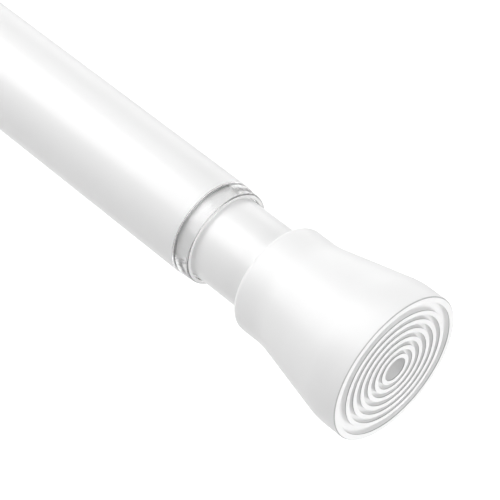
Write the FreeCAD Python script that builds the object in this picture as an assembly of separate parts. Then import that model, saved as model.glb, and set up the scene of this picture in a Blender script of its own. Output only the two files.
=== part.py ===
import FreeCAD, Part
import math
import os

from FreeCAD import Vector

# Spring tension rod, pushed in to its shortest length.
# Millimetres, +X along the rod from the fixed end to the sliding end, +Z up.
# The origin is the centre of the fixed end's wall face.

# Travels, and the lengths that go with them
extension = 200.0              # how far the inner tube draws out
spring_travel = 13.5           # how far the rod gives when it is pressed between walls
neck_gap = 0.85                # left between the collar and the cap at full spring travel
tube_end_gap = 65.0            # free length of outer tube behind the lock, with the rod pushed in

# Tubes
inner_tube_diameter = 19.0
inner_tube_wall = 0.6
outer_tube_wall = 0.6

# Clear collar in the mouth of the outer tube
collar_clearance = 0.1         # left around the inner tube when the lock is turned
collar_skirt_wall = 0.6
collar_skirt_gap = 0.05
collar_skirt_length = 14.0
collar_band_length = 4.25      # the part that shows past the outer tube
collar_taper = 0.4             # how much the band narrows towards its front edge
collar_edge_round = 0.4
pull_out_gap = 0.3             # between the bush and the collar at full extension

# End caps
cap_length = 32.7
cap_wall = 2.7                 # around the tube, at the neck
cap_face_wall = 5.0            # between the tube's end and the wall face
cap_socket_gap = 0.05
cap_flare = 2.66               # from the outer tube's neck to the rim
cap_neck_length = 7.4
cap_rim_length = 6.2
cap_neck_round = 1.0
cap_waist_round = 14.0
cap_shoulder_round = 14.0
cap_rim_round = 0.4

# Gripping rings moulded in the wall face of each cap
recess_radius = 2.65
recess_depth = 3.5
ridge_width = 1.0
groove_width = 0.94
groove_depth = 1.4
groove_bevel = 0.3             # at the bottom of each groove
land_width = 1.4               # flat land inside the rim
outer_groove_least = 1.2       # the groove inside the land takes up what is left over

# Twist lock
cam_offset = 0.25
lock_turn = 60.0               # degrees, each way, until the ring jams
ring_clearance = 0.08
ring_width = 12.0
ring_end_play = 0.1
ring_slit = 3.0
ring_bevel = 0.5
journal_wall = 2.2             # around the push rod's corners
journal_clearance = 0.08
hub_flange_gap = 1.9           # from the flange to the outer tube
hub_flange_thickness = 2.5
hub_floor = 3.0                # under the screw's washer
hub_washer_thickness = 1.0

# Push rod, its screws and its bush
rod_across_flats = 7.0
rod_clearance = 0.12
screw_radius = 2.0
screw_clearance = 0.05
screw_head_overhang = 1.6
screw_head_height = 2.6
screw_head_bevel = 1.0
screw_bite = 10.0              # length in the push rod
washer_hole_clearance = 0.25
stop_washer_gap = 1.4          # from the washer to the inner tube
stop_washer_thickness = 1.2
bush_flange_thickness = 4.0
bush_clearance = 0.1           # between the bush's flange and the outer tube, lock turned
bush_length = 18.0
bush_gap = 0.05
crimp_depth = 0.5
crimp_width = 3.0
crimp_room = 0.1
seat_gap = 0.05                # at rest, between faces that bear on each other

# Spring
spring_length = 42.0           # fitted, with the rod not pressed
spring_wire = 1.6
spring_gap = 1.9               # from the coils to the outer tube
spring_turns = 6.0             # open turns between the two closed end turns
spring_wire_sides = 8          # the wire's section is drawn as a polygon of the same area

# Radii that follow from the fits
cam_shift = 2 * cam_offset * math.sin(math.radians(lock_turn) / 2)
inner_radius = inner_tube_diameter / 2
inner_bore = inner_radius - inner_tube_wall
collar_bore = inner_radius + cam_shift + collar_clearance
collar_skirt_radius = collar_bore + collar_skirt_wall
outer_bore = collar_skirt_radius + collar_skirt_gap
outer_radius = outer_bore + outer_tube_wall
rim_radius = outer_radius + cap_wall + cap_flare
hub_flange_radius = outer_bore - hub_flange_gap
socket_across_flats = rod_across_flats + 2 * rod_clearance
journal_radius = socket_across_flats / math.sqrt(3) + journal_wall
coil_radius = outer_bore - spring_gap - spring_wire / 2
stop_washer_radius = inner_bore - stop_washer_gap
screw_head_radius = screw_radius + screw_head_overhang

# Places along the rod, from the fixed end to the sliding end
outer_start_x = cap_face_wall
washer_x = outer_start_x + tube_end_gap + screw_head_height
hub_x = washer_x + hub_washer_thickness
rod_start_x = hub_x + hub_floor
hub_flange_x = hub_x + ring_width + 2 * ring_end_play
hub_end_x = hub_flange_x + hub_flange_thickness
spring_x = hub_end_x + seat_gap
bush_flange_x = spring_x + spring_length + seat_gap
inner_start_x = bush_flange_x + bush_flange_thickness
crimp_x = inner_start_x + bush_length / 2
bush_end_x = inner_start_x + bush_length
rod_end_x = bush_end_x + seat_gap
skirt_end_x = inner_start_x + extension + pull_out_gap
mouth_x = skirt_end_x + collar_skirt_length
collar_front_x = mouth_x + collar_band_length
neck_x = collar_front_x + spring_travel + neck_gap
closed_length = neck_x + cap_length
inner_end_x = closed_length - cap_face_wall


def turned(corners):
    """Turn a closed outline round the rod's axis. A corner is (x, radius) or (x, radius, rounding)."""
    points = [Vector(corner[0], 0, corner[1]) for corner in corners]
    starts = []
    ends = []
    edges = []
    for i, here in enumerate(points):
        before = points[i - 1] - here
        after = points[(i + 1) % len(points)] - here
        rounding = corners[i][2] if len(corners[i]) > 2 else 0
        half_angle = before.getAngle(after) / 2
        reach = min(rounding / math.tan(half_angle), 0.45 * before.Length, 0.45 * after.Length)
        start = here + before.normalize() * reach
        end = here + after.normalize() * reach
        starts.append(start)
        ends.append(end)
        if reach > 0:
            radius = reach * math.tan(half_angle)
            inward = (before + after).normalize()
            middle = here + inward * (radius / math.sin(half_angle) - radius)
            edges.append(Part.Arc(start, middle, end).toShape())
        if i > 0:
            edges.append(Part.LineSegment(ends[i - 1], start).toShape())
    edges.append(Part.LineSegment(ends[-1], starts[0]).toShape())
    outline = Part.Wire(Part.__sortEdges__(edges))
    return Part.Face(outline).revolve(Vector(0, 0, 0), Vector(1, 0, 0), 360)


def rod_along(radius, start, end, height=0.0):
    """Round bar along the rod, its axis at the given height."""
    return Part.makeCylinder(radius, end - start, Vector(start, 0, height), Vector(1, 0, 0))


def hexagon_along(across_flats, start, end):
    """Hexagonal bar along the rod, with two flats level."""
    corner_radius = across_flats / math.sqrt(3)
    angles = [math.radians(60 * i) for i in range(7)]
    corners = [Vector(start, corner_radius * math.cos(a), corner_radius * math.sin(a)) for a in angles]
    return Part.Face(Part.makePolygon(corners)).extrude(Vector(end - start, 0, 0))


def face_rings():
    """Outline of the wall face from its middle out to the land, as (depth, radius)."""
    pitch = ridge_width + groove_width
    land_inner = rim_radius - land_width
    wall_depth = groove_depth - groove_bevel
    ridge_count = int((land_inner - recess_radius - ridge_width - outer_groove_least) / pitch) + 1
    rings = [(recess_depth, 0), (recess_depth, recess_radius), (0, recess_radius)]
    for i in range(ridge_count):
        ridge_outer = recess_radius + i * pitch + ridge_width
        groove_outer = ridge_outer + groove_width if i < ridge_count - 1 else land_inner
        rings += [(0, ridge_outer), (wall_depth, ridge_outer), (groove_depth, ridge_outer + groove_bevel)]
        rings += [(groove_depth, groove_outer - groove_bevel), (wall_depth, groove_outer), (0, groove_outer)]
    return rings


def end_cap(face_x, inward, tube_radius):
    """Flared cap on a tube's end. inward is +1 or -1, from the wall face into the rod."""
    neck_radius = tube_radius + cap_wall
    socket_radius = tube_radius + cap_socket_gap
    outline = face_rings()
    outline += [
        (0, rim_radius, cap_rim_round),
        (cap_rim_length, rim_radius, cap_shoulder_round),
        (cap_length - cap_neck_length, neck_radius, cap_waist_round),
        (cap_length, neck_radius, cap_neck_round),
        (cap_length, socket_radius),
        (cap_face_wall, socket_radius),
        (cap_face_wall, 0),
    ]
    return turned([(face_x + inward * corner[0],) + corner[1:] for corner in outline])


def fixed_end_cap():
    return end_cap(0.0, 1, outer_radius)


def moving_end_cap():
    return end_cap(closed_length, -1, inner_radius)


def outer_tube():
    return turned([
        (outer_start_x, outer_bore),
        (mouth_x, outer_bore),
        (mouth_x, outer_radius),
        (outer_start_x, outer_radius),
    ])


def mouth_collar():
    """Clear collar: a skirt inside the outer tube and a tapered band in front of it."""
    return turned([
        (skirt_end_x, collar_bore),
        (collar_front_x, collar_bore),
        (collar_front_x, outer_radius - collar_taper, collar_edge_round),
        (mouth_x, outer_radius),
        (mouth_x, collar_skirt_radius),
        (skirt_end_x, collar_skirt_radius),
    ])


def inner_tube():
    """Thinner tube, with a rolled crimp that holds the bush."""
    half = crimp_width / 2
    outside = [
        (inner_start_x, inner_radius),
        (crimp_x - half, inner_radius),
        (crimp_x, inner_radius - crimp_depth),
        (crimp_x + half, inner_radius),
        (inner_end_x, inner_radius),
    ]
    inside = [(x, radius - inner_tube_wall) for x, radius in reversed(outside)]
    return turned(outside + inside)


def guide_bush():
    """Bush in the inner tube's end: it keys on the push rod, and its flange stops at the collar."""
    body_radius = inner_bore - bush_gap
    flange_radius = outer_bore - cam_shift - bush_clearance
    half = crimp_width / 2 + crimp_room
    blank = turned([
        (bush_flange_x, 0),
        (bush_flange_x, flange_radius),
        (inner_start_x, flange_radius),
        (inner_start_x, body_radius),
        (crimp_x - half, body_radius),
        (crimp_x, body_radius - crimp_depth - crimp_room),
        (crimp_x + half, body_radius),
        (bush_end_x, body_radius),
        (bush_end_x, 0),
    ])
    return blank.cut(hexagon_along(socket_across_flats, bush_flange_x, bush_end_x))


def push_rod():
    """Hexagonal rod from the lock into the inner tube, drilled at both ends for screws."""
    pilot_radius = screw_radius + screw_clearance
    bar = hexagon_along(rod_across_flats, rod_start_x, rod_end_x)
    front_pilot = rod_along(pilot_radius, rod_start_x, rod_start_x + screw_bite)
    rear_pilot = rod_along(pilot_radius, rod_end_x - screw_bite, rod_end_x)
    return bar.cut(front_pilot).cut(rear_pilot)


def washer(start, thickness, radius):
    hole = screw_radius + washer_hole_clearance
    end = start + thickness
    return turned([(start, hole), (end, hole), (end, radius), (start, radius)])


def screw(head_x, inward, under_head):
    """Pan-head screw. under_head is what it passes through before it bites in the push rod."""
    bite = screw_bite - screw_clearance
    outline = [
        (-screw_head_height, 0),
        (-screw_head_height, screw_head_radius - screw_head_bevel),
        (-screw_head_height + screw_head_bevel, screw_head_radius),
        (0, screw_head_radius),
        (0, screw_radius),
        (under_head + bite, screw_radius),
        (under_head + bite, 0),
    ]
    return turned([(head_x + inward * corner[0],) + corner[1:] for corner in outline])


def hub_washer():
    return washer(washer_x, hub_washer_thickness, hub_flange_radius)


def hub_screw():
    return screw(washer_x, 1, hub_washer_thickness + hub_floor)


def stop_washer():
    return washer(rod_end_x, stop_washer_thickness, stop_washer_radius)


def stop_screw():
    return screw(rod_end_x + stop_washer_thickness, -1, stop_washer_thickness)


def cam_hub():
    """Eccentric journal with a flange, keyed on the push rod's front end."""
    flange = rod_along(hub_flange_radius, hub_flange_x, hub_end_x)
    journal = rod_along(journal_radius, hub_x, hub_flange_x, cam_offset)
    socket = hexagon_along(socket_across_flats, rod_start_x, hub_end_x)
    screw_hole = rod_along(screw_radius + washer_hole_clearance, hub_x, rod_start_x)
    return flange.fuse(journal).cut(socket).cut(screw_hole)


def cam_ring():
    """Split ring that rides on the eccentric journal and jams in the outer tube."""
    start = hub_x + ring_end_play
    end = start + ring_width
    radius = outer_bore - ring_clearance
    blank = turned([
        (start, 0),
        (start, radius - ring_bevel),
        (start + ring_bevel, radius),
        (end - ring_bevel, radius),
        (end, radius - ring_bevel),
        (end, 0),
    ])
    bore = rod_along(journal_radius + journal_clearance, start, end, cam_offset)
    slit = Part.makeBox(ring_width, ring_slit, radius, Vector(start, -ring_slit / 2, 0))
    return blank.cut(bore).cut(slit)


def spring():
    """Compression spring round the push rod, with closed, ground ends."""
    open_length = spring_length - 2 * spring_wire
    step = 2 * math.pi / spring_wire_sides
    corner_radius = spring_wire / 2 * math.sqrt(step / math.sin(step))
    angles = [step * (i + 0.5) for i in range(spring_wire_sides + 1)]
    corners = [
        Vector(coil_radius + corner_radius * math.cos(angle), 0, corner_radius * math.sin(angle))
        for angle in angles
    ]
    path_edges = []
    length = 0.0
    turns = 0.0
    for run_turns, run_length in ((1, spring_wire), (spring_turns, open_length), (1, spring_wire)):
        run = Part.makeHelix(run_length / run_turns, run_length, coil_radius)
        run.rotate(Vector(0, 0, 0), Vector(0, 0, 1), 360 * turns)
        run.translate(Vector(0, 0, length))
        path_edges += run.Edges
        length += run_length
        turns += run_turns
    coil = Part.Wire(path_edges).makePipeShell([Part.makePolygon(corners)], True, True)
    ground = coil.common(Part.makeCylinder(coil_radius + spring_wire, spring_length))
    ground.rotate(Vector(0, 0, 0), Vector(0, 1, 0), 90)
    ground.translate(Vector(spring_x, 0, 0))
    return ground


pieces = [
    outer_tube, mouth_collar, fixed_end_cap,
    cam_ring,
    cam_hub, hub_washer, hub_screw, push_rod, stop_washer, stop_screw, spring,
    inner_tube, guide_bush, moving_end_cap,
]

os.makedirs("parts", exist_ok=True)
print("closed length", round(closed_length, 3), "outer tube diameter", round(2 * outer_radius, 3))
for piece in pieces:
    shape = piece()
    print(piece.__name__, "valid", shape.isValid(), "volume", round(shape.Volume, 1))
    shape.exportStep("parts/" + piece.__name__ + ".step")
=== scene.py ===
# %% [markdown]
# # A spring tension rod
# A tension rod is a telescopic tube that a spring holds between two walls. The frame brings every piece
# at its real size and place, in metres, with X along the rod. This lesson turns the pieces that show into
# smooth meshes, gives each one its finish, and lights them as a bright studio picture.

# %% Load the frame
import math

import bmesh
import bpy
from mathutils import Matrix, Vector


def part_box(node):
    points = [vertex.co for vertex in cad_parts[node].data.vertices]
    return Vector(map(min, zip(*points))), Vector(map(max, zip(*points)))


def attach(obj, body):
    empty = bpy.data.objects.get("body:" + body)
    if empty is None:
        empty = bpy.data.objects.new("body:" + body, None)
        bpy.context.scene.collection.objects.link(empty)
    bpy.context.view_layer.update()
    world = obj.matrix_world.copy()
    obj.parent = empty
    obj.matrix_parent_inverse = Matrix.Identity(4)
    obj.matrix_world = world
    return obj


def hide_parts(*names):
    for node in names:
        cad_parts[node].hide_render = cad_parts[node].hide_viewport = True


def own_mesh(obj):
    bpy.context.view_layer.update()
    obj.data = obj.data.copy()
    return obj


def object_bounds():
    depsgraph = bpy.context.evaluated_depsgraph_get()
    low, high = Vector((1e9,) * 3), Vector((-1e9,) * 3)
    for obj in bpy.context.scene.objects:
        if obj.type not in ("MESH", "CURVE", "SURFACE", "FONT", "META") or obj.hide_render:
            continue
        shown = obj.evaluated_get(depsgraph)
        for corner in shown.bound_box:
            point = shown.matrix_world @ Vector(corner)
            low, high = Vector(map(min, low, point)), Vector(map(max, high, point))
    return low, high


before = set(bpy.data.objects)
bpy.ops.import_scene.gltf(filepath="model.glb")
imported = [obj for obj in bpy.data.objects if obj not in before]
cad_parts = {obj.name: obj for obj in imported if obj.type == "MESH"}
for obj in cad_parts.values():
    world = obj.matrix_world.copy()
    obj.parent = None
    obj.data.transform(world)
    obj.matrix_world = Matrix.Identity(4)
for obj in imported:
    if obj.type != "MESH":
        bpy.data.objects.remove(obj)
cad_low, cad_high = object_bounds()
MM = 0.001
print("the rod is", round((cad_high.x - cad_low.x) / MM, 1), "mm long")

# %% [markdown]
# ## Half a section
# All the outer pieces of the rod are round about the same axis. They could be cut from cylinders, but a
# turner would draw half a section and spin it. The section is an outline of a few corners. Corners are
# rounded here, with a vertex bevel, because on the outline a rounding is one small arc and not a ring of
# edges. A rounding is written as a pair: its radius, and the number of segments that draw it.

# %% Draw an outline with round corners
def round_corner(shape, corner, radius, segments):
    """Cut a corner of an outline back to an arc."""
    arms = [edge.other_vert(corner).co - corner.co for edge in corner.link_edges]
    reach = radius / math.tan(arms[0].angle(arms[1]) / 2)
    bmesh.ops.bevel(shape, geom=[corner], offset=reach, offset_type="OFFSET", affect="VERTICES",
                    segments=segments, profile=0.5, material=-1, clamp_overlap=True)


def draw_outline(shape, corners, closed):
    """Each corner is (x, radius), or (x, radius, rounding) where it is round."""
    points = [shape.verts.new((corner[0], 0, corner[1])) for corner in corners]
    followers = points[1:] + points[:1] if closed else points[1:]
    for point, follower in zip(points, followers):
        shape.edges.new((point, follower))
    for point, corner in zip(points, corners):
        if len(corner) > 2:
            round_corner(shape, point, *corner[2])
    print("an outline of", len(corners), "corners has", len(shape.verts), "points")


# %% [markdown]
# ## A lathe
# `bmesh.ops.spin` is the lathe: it carries the outline once round the X axis and merges the seam. The
# doubles are then merged and the faces turned outwards. Everything is shaded smooth, and only edges past
# an angle are marked sharp, so that roundings look soft and true corners stay crisp.

# %% Spin an outline into a piece
MERGE_DISTANCE = 0.001 * MM
SHARP_ANGLE = math.radians(38)
ROUND_STEPS = 160


def finish_mesh(shape, name):
    """Close the seams, turn the faces outwards, and make a smooth object with crisp corners."""
    bmesh.ops.remove_doubles(shape, verts=shape.verts[:], dist=MERGE_DISTANCE)
    bmesh.ops.recalc_face_normals(shape, faces=shape.faces[:])
    for face in shape.faces:
        face.smooth = True
    mesh = bpy.data.meshes.new(name)
    shape.to_mesh(mesh)
    shape.free()
    mesh.set_sharp_from_angle(angle=SHARP_ANGLE)
    piece = bpy.data.objects.new(name, mesh)
    bpy.context.scene.collection.objects.link(piece)
    print(name, "has", len(mesh.polygons), "faces")
    return piece


def turned(name, corners, closed=True):
    """A piece turned about the X axis. An open outline starts and ends on the axis."""
    shape = bmesh.new()
    draw_outline(shape, corners, closed)
    bmesh.ops.spin(shape, geom=shape.verts[:] + shape.edges[:], cent=(0, 0, 0), axis=(1, 0, 0),
                   dvec=(0, 0, 0), angle=2 * math.pi, steps=ROUND_STEPS, use_merge=True)
    return finish_mesh(shape, name)


chord_error = cad_high.z * (1 - math.cos(math.pi / ROUND_STEPS))
print(ROUND_STEPS, "steps keep the widest piece within", round(chord_error / MM, 4), "mm of a circle")

# %% [markdown]
# ## The outer tube
# The outer tube is thin steel with white paint on it. It could be a plain cylinder with a thickness, but
# its mouth is slightly rounded by the paint, and that edge catches the light. So its wall is drawn as a
# section. Its ends and its radius come from the frame.

# %% Turn the outer tube
TUBE_WALL = 0.6 * MM
MOUTH_INNER_ROUND = (0.15 * MM, 2)
MOUTH_OUTER_ROUND = (0.15 * MM, 3)

outer_low, outer_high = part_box("outer_tube")
outer_radius = outer_high.z
mouth_x = outer_high.x

outer_tube = turned("outer_tube_painted", [
    (outer_low.x, outer_radius - TUBE_WALL),
    (mouth_x, outer_radius - TUBE_WALL, MOUTH_INNER_ROUND),
    (mouth_x, outer_radius, MOUTH_OUTER_ROUND),
    (outer_low.x, outer_radius),
])
print("outer tube:", round(2 * outer_radius / MM, 2), "mm across")

# %% [markdown]
# ## The inner tube
# The inner tube slides in the outer one. Far inside, a rolled crimp in its wall holds a bush. The crimp
# could be pressed into a finished tube, but on a section it is three more corners. The inside of the wall
# has the same corners, set back by the wall and taken in reverse, so that it follows the crimp.

# %% Turn the inner tube
CRIMP_PLACE = 9.0 * MM
CRIMP_HALF = 1.5 * MM
CRIMP_DEPTH = 0.5 * MM
CRIMP_ROUND = (2.0 * MM, 3)

inner_low, inner_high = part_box("inner_tube")
inner_radius = inner_high.z
crimp_x = inner_low.x + CRIMP_PLACE

outside = [
    (inner_low.x, inner_radius),
    (crimp_x - CRIMP_HALF, inner_radius, CRIMP_ROUND),
    (crimp_x, inner_radius - CRIMP_DEPTH, CRIMP_ROUND),
    (crimp_x + CRIMP_HALF, inner_radius, CRIMP_ROUND),
    (inner_high.x, inner_radius),
]
inside = [(x, radius - TUBE_WALL, *rounding) for x, radius, *rounding in reversed(outside)]
inner_tube = turned("inner_tube_painted", outside + inside)
print("inner tube:", round(2 * inner_radius / MM, 2), "mm across")

# %% [markdown]
# ## The clear collar
# A clear collar sits in the mouth of the outer tube and steadies the inner one. It could be a glassy
# skin, but with its real thickness light bends through it as in the real plastic: it has a skirt inside
# the tube and a tapered band in front of it. The skirt and the front end look frosted, so their faces
# take a second material. The bore has a corner at the mouth, which is where the frosted part ends.

# %% Turn the collar
COLLAR_BORE_GAP = 0.35 * MM
COLLAR_SKIRT_WALL = 0.6 * MM
COLLAR_SEAT_GAP = 0.02 * MM
COLLAR_TAPER = 0.4 * MM
COLLAR_EDGE_ROUND = (0.4 * MM, 4)

collar_low, collar_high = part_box("mouth_collar")
collar_bore = inner_radius + COLLAR_BORE_GAP
skirt_radius = collar_bore + COLLAR_SKIRT_WALL
seat_x = mouth_x + COLLAR_SEAT_GAP

mouth_collar = turned("mouth_collar_clear", [
    (collar_low.x, collar_bore),
    (mouth_x, collar_bore),
    (collar_high.x, collar_bore),
    (collar_high.x, outer_radius - COLLAR_TAPER, COLLAR_EDGE_ROUND),
    (seat_x, outer_radius),
    (seat_x, skirt_radius),
    (collar_low.x, skirt_radius),
])

# %% Choose the frosted faces
CLEAR_SLOT = 0
FROSTED_SLOT = 1
FRONT_END_SLOPE = 0.98

for face in mouth_collar.data.polygons:
    inside_tube = face.center.x < mouth_x
    front_end = face.normal.x > FRONT_END_SLOPE
    face.material_index = FROSTED_SLOT if inside_tube or front_end else CLEAR_SLOT
frosted_faces = [face for face in mouth_collar.data.polygons if face.material_index == FROSTED_SLOT]
print(len(frosted_faces), "faces of the collar are frosted")

# %% [markdown]
# ## The rings on the wall face
# Each end has a flared cap, and rings on its wall face grip the wall. The rings could be cut one by one
# out of a disc, but they are a pattern, so a loop draws them on the section, from the recess in the
# middle out to the flat land inside the rim. Depth counts from the wall face inwards, so the same rings
# serve both ends.

# %% Draw the rings
RECESS_RADIUS = 2.65 * MM
RECESS_DEPTH = 3.5 * MM
RIDGE_COUNT = 6
RIDGE_WIDTH = 1.0 * MM
RIDGE_ROUND = (0.1 * MM, 2)
GROOVE_WIDTH = 0.94 * MM
GROOVE_DEPTH = 1.4 * MM
GROOVE_ROUND = (0.46 * MM, 5)
LAND_WIDTH = 1.4 * MM
ring_pitch = RIDGE_WIDTH + GROOVE_WIDTH


def face_rings(rim_radius):
    """Half the section of the wall face, with corners of (depth, radius, rounding)."""
    land_inner = rim_radius - LAND_WIDTH
    rings = [
        (RECESS_DEPTH, 0),
        (RECESS_DEPTH, RECESS_RADIUS, RIDGE_ROUND),
        (0, RECESS_RADIUS, RIDGE_ROUND),
    ]
    for i in range(RIDGE_COUNT):
        ridge_outer = RECESS_RADIUS + i * ring_pitch + RIDGE_WIDTH
        groove_outer = ridge_outer + GROOVE_WIDTH if i < RIDGE_COUNT - 1 else land_inner
        rings += [
            (0, ridge_outer, RIDGE_ROUND),
            (GROOVE_DEPTH, ridge_outer, GROOVE_ROUND),
            (GROOVE_DEPTH, groove_outer, GROOVE_ROUND),
            (0, groove_outer, RIDGE_ROUND),
        ]
    return rings


print(RIDGE_COUNT, "ridges on a wall face, one every", round(ring_pitch / MM, 2), "mm")

# %% [markdown]
# ## The end caps
# A cap is moulded in one piece: the wall face, a straight rim, a flare, and a neck round its tube. It
# could be a cone with parts joined to it, but one outline keeps it one closed skin. Large roundings at
# both ends of the flare give the cap its waist. The socket for the tube stops at the wall behind the
# rings.

# %% Turn the caps
CAP_NECK_LENGTH = 7.4 * MM
CAP_RIM_LENGTH = 6.2 * MM
CAP_WALL = 2.7 * MM
CAP_FACE_WALL = 5.0 * MM
SOCKET_GAP = 0.05 * MM
NECK_ROUND = (1.4 * MM, 6)
WAIST_ROUND = (14.0 * MM, 10)
RIM_ROUND = (0.4 * MM, 4)


def end_cap(name, face_x, neck_x, tube_radius, rim_radius):
    """A cap from its wall face to the end of its neck, with a socket for its tube."""
    inward = 1 if neck_x > face_x else -1
    length = abs(neck_x - face_x)
    neck_radius = tube_radius + CAP_WALL
    socket_radius = tube_radius + SOCKET_GAP
    outline = face_rings(rim_radius) + [
        (0, rim_radius, RIM_ROUND),
        (CAP_RIM_LENGTH, rim_radius, WAIST_ROUND),
        (length - CAP_NECK_LENGTH, neck_radius, WAIST_ROUND),
        (length, neck_radius, NECK_ROUND),
        (length, socket_radius),
        (CAP_FACE_WALL, socket_radius),
        (CAP_FACE_WALL, 0),
    ]
    return turned(name, [(face_x + inward * depth, *rest) for depth, *rest in outline], closed=False)


cap_low, cap_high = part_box("moving_end_cap")
fixed_low, fixed_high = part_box("fixed_end_cap")
moving_cap = end_cap("moving_end_cap_moulded", cap_high.x, cap_low.x, inner_radius, cap_high.z)
fixed_cap = end_cap("fixed_end_cap_moulded", fixed_low.x, fixed_high.x, outer_radius, fixed_high.z)
print("the sliding end's cap is", round(2 * cap_high.z / MM, 2), "mm across its rim")

# %% [markdown]
# ## The spring
# Inside the outer tube a compression spring pushes the two halves apart. It could be a bevelled curve
# along a helix, but `spin` with a step along the axis winds the wire as a spring winder does: one closed
# turn, six open ones, one closed turn.

# %% Wind the spring
SPRING_WIRE = 1.6 * MM
WIRE_SIDES = 12
STEPS_PER_TURN = 48
OPEN_TURNS = 6

spring_low, spring_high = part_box("spring")
spring_length = spring_high.x - spring_low.x
coil_radius = spring_high.z - SPRING_WIRE / 2


def edges_of(items):
    return [item for item in items if isinstance(item, bmesh.types.BMEdge)]


def wind_wire(shape):
    """Carry a circle of the wire along the coil, and close its two ends."""
    place = Matrix.Translation((spring_low.x, 0, coil_radius)) @ Matrix.Rotation(math.pi / 2, 4, "X")
    bmesh.ops.create_circle(shape, segments=WIRE_SIDES, radius=SPRING_WIRE / 2, cap_ends=False,
                            matrix=place)
    first_ring = shape.edges[:]
    ring = shape.verts[:] + shape.edges[:]
    open_length = spring_length - 2 * SPRING_WIRE
    for turns, length in ((1, SPRING_WIRE), (OPEN_TURNS, open_length), (1, SPRING_WIRE)):
        steps = turns * STEPS_PER_TURN
        wound = bmesh.ops.spin(shape, geom=ring, cent=(0, 0, 0), axis=(1, 0, 0),
                               dvec=(length / steps, 0, 0), angle=2 * math.pi * turns, steps=steps)
        ring = wound["geom_last"]
    for edges in (first_ring, edges_of(ring)):
        bmesh.ops.edgeloop_fill(shape, edges=edges)


coil = bmesh.new()
wind_wire(coil)
print("spring is", round(spring_length / MM, 2), "mm long, coil radius", round(coil_radius / MM, 2), "mm")

# %% [markdown]
# The wire's two ends still stand out past the length of the spring. A grinder would take off half the
# wire there, so that the spring stands flat. A cut by a plane does the same, and the cut is filled.

# %% Grind the ends flat
def grind_flat(shape, cut_x, outward):
    """Cut off what stands out past one end, and fill the cut."""
    cut = bmesh.ops.bisect_plane(shape, geom=shape.verts[:] + shape.edges[:] + shape.faces[:],
                                 plane_co=(cut_x, 0, 0), plane_no=(outward, 0, 0), clear_outer=True)
    rim = edges_of(cut["geom_cut"])
    bmesh.ops.edgeloop_fill(shape, edges=[edge for edge in rim if edge.is_boundary])


grind_flat(coil, spring_low.x, -1)
grind_flat(coil, spring_high.x, 1)
spring = finish_mesh(coil, "spring_wound")

# %% [markdown]
# ## Unevenness
# White things are hard to show on white. Their look comes from small differences: paint is smooth with a
# faint orange peel, moulded plastic is duller with a fine grain. Each material could have its own noise,
# but one node group, built once, serves all of them. Noise gathers round its middle value, so the group
# spreads the middle of its range out between a low and a high value.

# %% A node group for unevenness
NOISE_LOW = 0.3
NOISE_HIGH = 0.7


def make_unevenness():
    group = bpy.data.node_groups.new("unevenness", "ShaderNodeTree")
    sockets = group.interface
    sockets.new_socket("Place", in_out="INPUT", socket_type="NodeSocketVector")
    for name in ("Cells per metre", "Detail", "Low", "High"):
        sockets.new_socket(name, in_out="INPUT", socket_type="NodeSocketFloat")
    sockets.new_socket("Value", in_out="OUTPUT", socket_type="NodeSocketFloat")
    entry = group.nodes.new("NodeGroupInput")
    leave = group.nodes.new("NodeGroupOutput")
    noise = group.nodes.new("ShaderNodeTexNoise")
    spread = group.nodes.new("ShaderNodeMapRange")
    spread.inputs["From Min"].default_value = NOISE_LOW
    spread.inputs["From Max"].default_value = NOISE_HIGH
    group.links.new(entry.outputs["Place"], noise.inputs["Vector"])
    group.links.new(entry.outputs["Cells per metre"], noise.inputs["Scale"])
    group.links.new(entry.outputs["Detail"], noise.inputs["Detail"])
    group.links.new(noise.outputs["Fac"], spread.inputs["Value"])
    group.links.new(entry.outputs["Low"], spread.inputs["To Min"])
    group.links.new(entry.outputs["High"], spread.inputs["To Max"])
    group.links.new(spread.outputs["Result"], leave.inputs["Value"])
    return group


unevenness = make_unevenness()
print("node group", unevenness.name, "has", len(unevenness.nodes), "nodes")

# %% [markdown]
# A material places the group with its own values. The noise reads Object coordinates, which are the
# frame's own metres here, so a cell has the same real size on every piece.

# %% Place the group in a material
def uneven(material, cells, detail, low, high):
    """Place the unevenness group in a material and return its value."""
    tree = material.node_tree
    place = tree.nodes.get("Texture Coordinate") or tree.nodes.new("ShaderNodeTexCoord")
    node = tree.nodes.new("ShaderNodeGroup")
    node.node_tree = unevenness
    node.inputs["Cells per metre"].default_value = cells
    node.inputs["Detail"].default_value = detail
    node.inputs["Low"].default_value = low
    node.inputs["High"].default_value = high
    tree.links.new(place.outputs["Object"], node.inputs["Place"])
    return node.outputs["Value"]


group_inputs = [item.name for item in unevenness.interface.items_tree if item.in_out == "INPUT"]
print("a material sets", ", ".join(group_inputs))

# %% [markdown]
# ## A recipe for a finish
# A finish is a few values: two close tones that drift into each other, a range of roughness, and the
# height of a relief, each with its number of cells per metre. Metals and plastics share these three
# links, so one function makes them all. What is the same all over a piece is set straight on the shader's
# own socket.

# %% A function for a finish
TONE_DETAIL = 2
ROUGH_DETAIL = 3
RELIEF_DETAIL = 2


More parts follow.
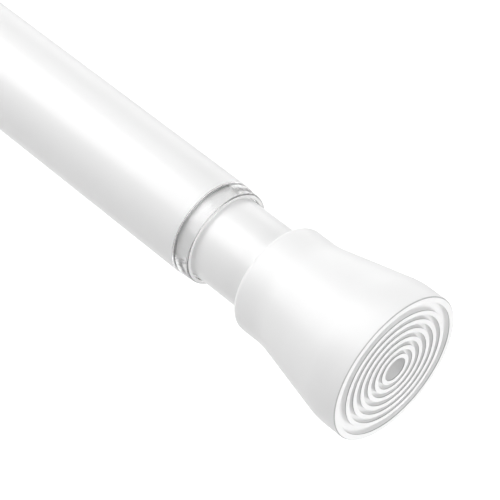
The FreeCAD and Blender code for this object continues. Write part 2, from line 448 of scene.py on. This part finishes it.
def make_finish(name, tones, tone_cells, roughness, rough_cells, relief, relief_cells, **sockets):
    material = bpy.data.materials.new(name)
    material.use_nodes = True
    tree = material.node_tree
    shader = tree.nodes["Principled BSDF"]
    for socket, value in sockets.items():
        shader.inputs[socket.replace("_", " ")].default_value = value
    drift = tree.nodes.new("ShaderNodeMix")
    drift.data_type = "RGBA"
    drift.inputs["A"].default_value = (*tones[0], 1)
    drift.inputs["B"].default_value = (*tones[1], 1)
    tree.links.new(uneven(material, tone_cells, TONE_DETAIL, 0, 1), drift.inputs["Factor"])
    tree.links.new(drift.outputs["Result"], shader.inputs["Base Color"])
    tree.links.new(uneven(material, rough_cells, ROUGH_DETAIL, *roughness), shader.inputs["Roughness"])
    bump = tree.nodes.new("ShaderNodeBump")
    bump.inputs["Distance"].default_value = relief
    tree.links.new(uneven(material, relief_cells, RELIEF_DETAIL, 0, 1), bump.inputs["Height"])
    tree.links.new(bump.outputs["Normal"], shader.inputs["Normal"])
    print("finish", name, "has a roughness of", *roughness)
    return material


# %% [markdown]
# ## White enamel and moulded white
# The tubes wear a hard even paint, with an orange peel that only bends a mirror image a little. The caps
# are moulded, and their finer, stronger grain makes them duller. Both could be one white, but side by
# side in the light the difference tells metal from plastic.

# %% The two whites
def grey(level):
    return (level, level, level)


enamel = make_finish("white_enamel", tones=(grey(0.80), grey(0.82)), tone_cells=40,
                     roughness=(0.29, 0.31), rough_cells=30,
                     relief=0.0005 * MM, relief_cells=700, IOR=1.65)
moulding = make_finish("moulded_white", tones=(grey(0.80), grey(0.83)), tone_cells=60,
                       roughness=(0.36, 0.44), rough_cells=500,
                       relief=0.001 * MM, relief_cells=4000, IOR=1.65)

# %% [markdown]
# ## Clear and frosted plastic
# The collar's plastic lets light through, with a slight haze that softens the streaks of light in its
# band. A glass shader could do that, but the Principled one takes the same recipe as the other finishes.
# The frosted faces scatter nearly all the light and look whitish.

# %% The two plastics of the collar
clear = make_finish("clear_plastic", tones=(grey(0.97), grey(1.0)), tone_cells=80,
                    roughness=(0.12, 0.16), rough_cells=400,
                    relief=0.001 * MM, relief_cells=500, Transmission_Weight=0.98, IOR=1.45)
frosted = make_finish("frosted_plastic", tones=(grey(0.92), grey(0.95)), tone_cells=80,
                      roughness=(0.40, 0.55), rough_cells=400,
                      relief=0.004 * MM, relief_cells=1500, Transmission_Weight=0.08, IOR=1.49)

# %% [markdown]
# ## Nylon, zinc and spring steel
# The lock inside is moulded in undyed nylon, which is slightly yellow. Its washers and screws are zinc
# plated, and the spring is dark drawn wire. A metal is the same recipe with the shader's Metallic at 1.

# %% The finishes inside
nylon = make_finish("natural_nylon", tones=((0.70, 0.68, 0.62), (0.76, 0.74, 0.69)), tone_cells=90,
                    roughness=(0.42, 0.55), rough_cells=600,
                    relief=0.006 * MM, relief_cells=2500)
zinc = make_finish("zinc_plate", tones=((0.58, 0.59, 0.58), (0.68, 0.68, 0.66)), tone_cells=150,
                   roughness=(0.28, 0.42), rough_cells=900,
                   relief=0.003 * MM, relief_cells=3000, Metallic=1.0)
spring_steel = make_finish("spring_steel", tones=((0.36, 0.36, 0.37), (0.48, 0.48, 0.48)), tone_cells=200,
                           roughness=(0.25, 0.40), rough_cells=800,
                           relief=0.003 * MM, relief_cells=2500, Metallic=1.0)

# %% [markdown]
# ## Painted shade in the gripping rings
# Under the lamps a thin dark line of shade runs just under each edge of the rings and along the corner of
# the rim, and the recess in the middle lies in shade. The form alone gives less shade than that, so shade
# is also painted into the moulding's colour. The painted shade could be put on the faces, but both caps end
# in a wall face, so the distance from the nearer face tells how deep a point lies, and nodes can work with
# that.

# %% Depth and radius as nodes
RECESS_MARGIN = 0.02 * MM
FACE_SKIN = 0.05 * MM


def math_node(tree, operation, first, second=0.0):
    """A Math node. Its operands are outputs of other nodes or plain numbers."""
    node = tree.nodes.new("ShaderNodeMath")
    node.operation = operation
    for socket, operand in zip(node.inputs, (first, second)):
        if isinstance(operand, (int, float)):
            socket.default_value = operand
        else:
            tree.links.new(operand, socket)
    return node.outputs["Value"]


def depth_below_face(tree, x):
    """How far a point lies along the rod from the nearer wall face."""
    middle = (cad_low.x + cad_high.x) / 2
    from_middle = math_node(tree, "ABSOLUTE", math_node(tree, "SUBTRACT", x, middle))
    return math_node(tree, "SUBTRACT", middle - cad_low.x, from_middle)


def in_recess(tree, y, z, depth):
    """1 in the recess, below its edge, and 0 elsewhere."""
    squares = [math_node(tree, "POWER", side, 2) for side in (y, z)]
    radius = math_node(tree, "SQRT", math_node(tree, "ADD", *squares))
    near_axis = math_node(tree, "LESS_THAN", radius, RECESS_RADIUS + RECESS_MARGIN)
    below_face = math_node(tree, "GREATER_THAN", depth, FACE_SKIN)
    return math_node(tree, "MULTIPLY", near_axis, below_face)


print("the recess is toned within", round((RECESS_RADIUS + RECESS_MARGIN) / MM, 2), "mm of the axis")

# %% [markdown]
# A colour ramp turns the depth into painted shade. Its first stops leave the flat top of a ridge white, the
# middle ones draw the painted dark line of shade, and the last ones fade it out.

# %% A ramp for the painted dark line
PAINTED_SHADE_REACH = 1.0 * MM
# Each stop is a share of the reach, and the tone of the painted shade there.
PAINTED_SHADE_STOPS = ((0.0, 1.0), (0.03, 1.0), (0.05, 0.45), (0.14, 0.50), (0.24, 0.96), (0.3, 1.0))


# Painted shade: the ramp darkens the colour by depth, for a dark line of shade under each edge.
def painted_shade_by_depth(tree, depth):
    ramp = tree.nodes.new("ShaderNodeValToRGB")
    stops = ramp.color_ramp.elements
    for place, tone in PAINTED_SHADE_STOPS[1:-1]:
        stops.new(place)
    for stop, (place, tone) in zip(stops, PAINTED_SHADE_STOPS):
        stop.position = place
        stop.color = (*grey(tone), 1)
    tree.links.new(math_node(tree, "DIVIDE", depth, PAINTED_SHADE_REACH), ramp.inputs["Fac"])
    return ramp.outputs["Color"]


print("the line fades out", round(PAINTED_SHADE_STOPS[-1][0] * PAINTED_SHADE_REACH / MM, 2), "mm below the wall face")

# %% [markdown]
# The recess has one painted shade all over. Both painted shades together multiply the moulding's own
# colour, so the drift of its whites stays.

# %% Paint shade on the moulding
# The recess is darkened by painted shade, to this share of its colour.
RECESS_PAINTED_SHADE = 0.88


def paint_ring_shade(material):
    tree = material.node_tree
    shader = tree.nodes["Principled BSDF"]
    split = tree.nodes.new("ShaderNodeSeparateXYZ")
    tree.links.new(tree.nodes["Texture Coordinate"].outputs["Object"], split.inputs["Vector"])
    depth = depth_below_face(tree, split.outputs["X"])
    recess = in_recess(tree, split.outputs["Y"], split.outputs["Z"], depth)
    recess_painted_shade = math_node(tree, "SUBTRACT", 1, math_node(tree, "MULTIPLY", recess, 1 - RECESS_PAINTED_SHADE))
    painted_shade = tree.nodes.new("ShaderNodeVectorMath")
    painted_shade.operation = "SCALE"
    tree.links.new(painted_shade_by_depth(tree, depth), painted_shade.inputs["Vector"])
    tree.links.new(recess_painted_shade, painted_shade.inputs["Scale"])
    colour_with_painted_shade = tree.nodes.new("ShaderNodeMix")
    colour_with_painted_shade.data_type = "RGBA"
    colour_with_painted_shade.blend_type = "MULTIPLY"
    colour_with_painted_shade.inputs["Factor"].default_value = 1
    tree.links.new(shader.inputs["Base Color"].links[0].from_socket, colour_with_painted_shade.inputs["A"])
    tree.links.new(painted_shade.outputs["Vector"], colour_with_painted_shade.inputs["B"])
    tree.links.new(colour_with_painted_shade.outputs["Result"], shader.inputs["Base Color"])


# Painted shade: darkens the moulding's colour in the grooves, along the rim corner and in the recess.
paint_ring_shade(moulding)
print(moulding.name, "has", len(moulding.node_tree.nodes), "nodes")

# %% [markdown]
# ## Dress the pieces
# Each new piece stands for a node of the frame and rides on that node's body, so it moves with the real
# joints. The collar takes a second finish for its frosted faces.

# %% Ride, replace and paint
for piece, node, body, slot, finish in (
    (outer_tube, "outer_tube", "outer", "white_paint", enamel),
    (mouth_collar, "mouth_collar", "outer", "clear_plastic", clear),
    (fixed_cap, "fixed_end_cap", "outer", "white_cap", moulding),
    (inner_tube, "inner_tube", "inner", "white_paint", enamel),
    (moving_cap, "moving_end_cap", "inner", "white_cap", moulding),
    (spring, "spring", "plunger", "spring_steel", spring_steel),
):
    piece.data.materials.append(finish)
    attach(piece, body)
    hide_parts(node)
    print(piece.name, "rides on", body)
mouth_collar.data.materials.append(frosted)

# %% [markdown]
# The inner pieces only show on a cut model. They could be modelled again, but the frame's meshes have the
# right shape already, so they only get a finish of their own.

# %% Paint the inner pieces
for finish, nodes in (
    (nylon, ("cam_ring", "cam_hub", "push_rod", "guide_bush")),
    (zinc, ("hub_washer", "hub_screw", "stop_washer", "stop_screw")),
):
    for node in nodes:
        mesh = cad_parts[node].data
        mesh.materials.clear()
        mesh.materials.append(finish)
    print(finish.name, "on", ", ".join(nodes))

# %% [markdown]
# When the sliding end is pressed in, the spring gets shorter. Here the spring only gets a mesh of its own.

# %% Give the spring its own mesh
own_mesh(spring)

# %% [markdown]
# ## A white ground
# The picture is a bright one: white ground, no hard shadow. More light could make the ground white, but
# it would wash out the white rod too. So the ground glows a little by itself, only where it is seen:
# straight on, in a mirror image or through clear plastic. A ray that a dull surface has scattered sees
# less of it.

# %% Which rays see the ground
SCATTERED_SHARE = 0.55


def map_range(tree, value, low, high, from_low=0.0, from_high=1.0):
    node = tree.nodes.new("ShaderNodeMapRange")
    for name, limit in (("From Min", from_low), ("From Max", from_high), ("To Min", low), ("To Max", high)):
        node.inputs[name].default_value = limit
    tree.links.new(value, node.inputs["Value"])
    return node.outputs["Result"]


def seen_directly(tree, paths):
    """1 for rays that show the ground, less after a dull surface, 0 for rays that only gather its light."""
    shown = paths.outputs["Is Camera Ray"]
    for kind in ("Is Glossy Ray", "Is Transmission Ray"):
        shown = math_node(tree, "MAXIMUM", shown, paths.outputs[kind])
    unscattered = map_range(tree, paths.outputs["Diffuse Depth"], 1.0, SCATTERED_SHARE)
    return math_node(tree, "MULTIPLY", shown, unscattered)


print("after a dull surface a ray sees", SCATTERED_SHARE, "of the ground's glow")

# %% [markdown]
# ## The floor
# The floor lies well under the rod, because the rod is held at its ends. Near the rod the lamps light it
# and it takes the shadow, with a small lift from its own glow. Further off the glow takes over, as one
# pale even tone that the world shares, so that no edge of light and no horizon shows from any side.

# %% How far from the rod
FLOOR_DROP = 0.30
FADE_STARTS = 0.5
FADE_ENDS = 1.4
floor_centre = Vector((cad_high.x / 2, 0, -FLOOR_DROP))


def distance_share(tree):
    """0 near the rod, 1 far away from it."""
    place = tree.nodes.new("ShaderNodeTexCoord")
    away = tree.nodes.new("ShaderNodeVectorMath")
    away.operation = "DISTANCE"
    away.inputs[1].default_value = floor_centre
    tree.links.new(place.outputs["Object"], away.inputs[0])
    return map_range(tree, away.outputs["Value"], 0.0, 1.0, FADE_STARTS, FADE_ENDS)


print("the floor fades from", FADE_STARTS, "to", FADE_ENDS, "m away from the rod")

# %% [markdown]
# The floor's colour fades to black only for rays that see it. For all other rays it stays pale, so the
# light that it throws back on the rod doesn't change.

# %% The floor's material
FLOOR_COLOUR = 0.86
FLOOR_ROUGHNESS = 0.9
FLOOR_LIFT = 0.35
FAR_TONE = 0.87


def make_floor_finish():
    material = bpy.data.materials.new("pale_floor")
    material.use_nodes = True
    tree = material.node_tree
    shader = tree.nodes["Principled BSDF"]
    shader.inputs["Roughness"].default_value = FLOOR_ROUGHNESS
    shader.inputs["Specular IOR Level"].default_value = 0.0
    shader.inputs["Emission Color"].default_value = (1, 1, 1, 1)
    paths = tree.nodes.new("ShaderNodeLightPath")
    far = distance_share(tree)
    shown = seen_directly(tree, paths)
    fade = tree.nodes.new("ShaderNodeMix")
    fade.data_type = "RGBA"
    fade.inputs["A"].default_value = (*grey(FLOOR_COLOUR), 1)
    fade.inputs["B"].default_value = (*grey(0), 1)
    tree.links.new(math_node(tree, "MULTIPLY", far, shown), fade.inputs["Factor"])
    tree.links.new(fade.outputs["Result"], shader.inputs["Base Color"])
    far_and_seen = math_node(tree, "MULTIPLY", far, paths.outputs["Is Camera Ray"])
    lift = math_node(tree, "MULTIPLY", map_range(tree, far, FLOOR_LIFT, 1.0),
                     map_range(tree, far_and_seen, 1.0, FAR_TONE))
    tree.links.new(math_node(tree, "MULTIPLY", shown, lift), shader.inputs["Emission Strength"])
    return material


floor_finish = make_floor_finish()
print("the far floor has a tone of", FAR_TONE)

# %% Lay the floor
FLOOR_SIZE = 12.0

sheet = bmesh.new()
bmesh.ops.create_grid(sheet, x_segments=1, y_segments=1, size=FLOOR_SIZE / 2,
                      matrix=Matrix.Translation(floor_centre))
floor_mesh = bpy.data.meshes.new("floor")
sheet.to_mesh(floor_mesh)
sheet.free()
floor_mesh.materials.append(floor_finish)
floor = bpy.data.objects.new("floor", floor_mesh)
bpy.context.scene.collection.objects.link(floor)
print("floor laid", FLOOR_DROP, "m under the rod")

# %% [markdown]
# ## The world
# The world fills in behind the floor. It gives the rod only a little light, but where it is seen it has
# the tone of the far floor, and in a mirror image or through plastic it is white.

# %% World
AMBIENT = 0.105


def make_world():
    world = bpy.data.worlds.new("studio")
    world.use_nodes = True
    tree = world.node_tree
    background = tree.nodes["Background"]
    background.inputs["Color"].default_value = (1, 1, 1, 1)
    paths = tree.nodes.new("ShaderNodeLightPath")
    level = math_node(tree, "MULTIPLY", map_range(tree, seen_directly(tree, paths), AMBIENT, 1.0),
                      map_range(tree, paths.outputs["Is Camera Ray"], 1.0, FAR_TONE))
    tree.links.new(level, background.inputs["Strength"])
    return world


bpy.context.scene.world = make_world()
print("the world lights the rod at", AMBIENT)

# %% [markdown]
# ## Lamps
# Large soft boxes give a white tube its form. Small lamps would draw hard lines on it. The key box and
# the long box stand over the far end, so that their mirror images run along the tube as one soft bright
# band. The end box looks at the wall face of the cap, the back box lights the far edge of the tube, and
# the top box and the far box fill in.

# %% Soft boxes
LAMP_DISTANCE = 1.6
NEARLY_ALONG_ROD = 0.99
face_centre = Vector((cad_high.x, 0, 0))


def softbox(name, direction, along, across, power):
    """A lamp that looks at the sliding end. Its sides lie along the rod and across it."""
    lamp = bpy.data.lights.new(name, "AREA")
    lamp.shape = "RECTANGLE"
    lamp.size = along
    lamp.size_y = across
    lamp.energy = power
    away = Vector(direction).normalized()
    side = away.cross((1, 0, 0)) if abs(away.x) < NEARLY_ALONG_ROD else Vector((0, 1, 0))
    side.normalize()
    turn = Matrix((side.cross(away), side, away)).transposed().to_4x4()
    box = bpy.data.objects.new(name, lamp)
    box.matrix_world = Matrix.Translation(face_centre + away * LAMP_DISTANCE) @ turn
    box.visible_camera = False
    bpy.context.scene.collection.objects.link(box)
    print(name, "is", along, "by", across, "m, at", power, "W")


softbox("key_box", direction=(-0.50, -0.27, 0.82), along=0.8, across=1.6, power=10.5)
softbox("long_box", direction=(-0.80, -0.30, 0.52), along=0.6, across=1.6, power=8.5)
softbox("top_box", direction=(0.0, 0.0, 1.0), along=2.4, across=2.4, power=12.4)
softbox("end_box", direction=(1.0, 0.0, 0.25), along=1.6, across=1.6, power=23.5)
softbox("back_box", direction=(-0.5, 0.85, -0.1), along=1.6, across=1.6, power=8.0)
softbox("far_box", direction=(-1.0, 0.0, 0.4), along=1.6, across=1.6, power=3.6)

# %% [markdown]
# ## The camera
# The camera looks down at the sliding end, close to it and through a long lens, and the rod runs out of
# the picture. It could be aimed by a constraint, but its place is worked out from the middle of the wall
# face: how far that lies right, down and forward in the picture.

# %% Camera
AZIMUTH = math.radians(46.6248)
ELEVATION = math.radians(46.4813)
LENS = 148.529
SENSOR_WIDTH = 36
NEAREST = 0.01
FURTHEST = 50
FACE_RIGHT = 27.6477 * MM
FACE_DOWN = 22.7358 * MM
FACE_FORWARD = 392.4601 * MM

right = Vector((math.cos(AZIMUTH), math.sin(AZIMUTH), 0))
back = Vector((math.sin(AZIMUTH) * math.cos(ELEVATION), -math.cos(AZIMUTH) * math.cos(ELEVATION),
               math.sin(ELEVATION)))
up = back.cross(right)
eye = face_centre - right * FACE_RIGHT + up * FACE_DOWN + back * FACE_FORWARD
camera_turn = Matrix((right, up, back)).transposed().to_4x4()

camera_data = bpy.data.cameras.new("camera")
camera_data.lens = LENS
camera_data.sensor_width = SENSOR_WIDTH
camera_data.clip_start = NEAREST
camera_data.clip_end = FURTHEST
camera = bpy.data.objects.new("camera", camera_data)
camera.matrix_world = Matrix.Translation(eye) @ camera_turn
bpy.context.scene.collection.objects.link(camera)
bpy.context.scene.camera = camera
print("camera at", [round(value, 4) for value in eye])

# %% [markdown]
# ## Colours and bounces
# With the Standard view transform a colour renders about as it is written. Light in the clear collar is
# mirrored many times between its walls, so rays may bounce more often than usual. With fewer bounces the
# collar would look grey.

# %% View transform and bounces
GLOSSY_BOUNCES = 16
ALL_BOUNCES = 24

scene = bpy.context.scene
scene.view_settings.view_transform = "Standard"
scene.cycles.glossy_bounces = GLOSSY_BOUNCES
scene.cycles.max_bounces = ALL_BOUNCES
print("rays bounce up to", ALL_BOUNCES, "times")
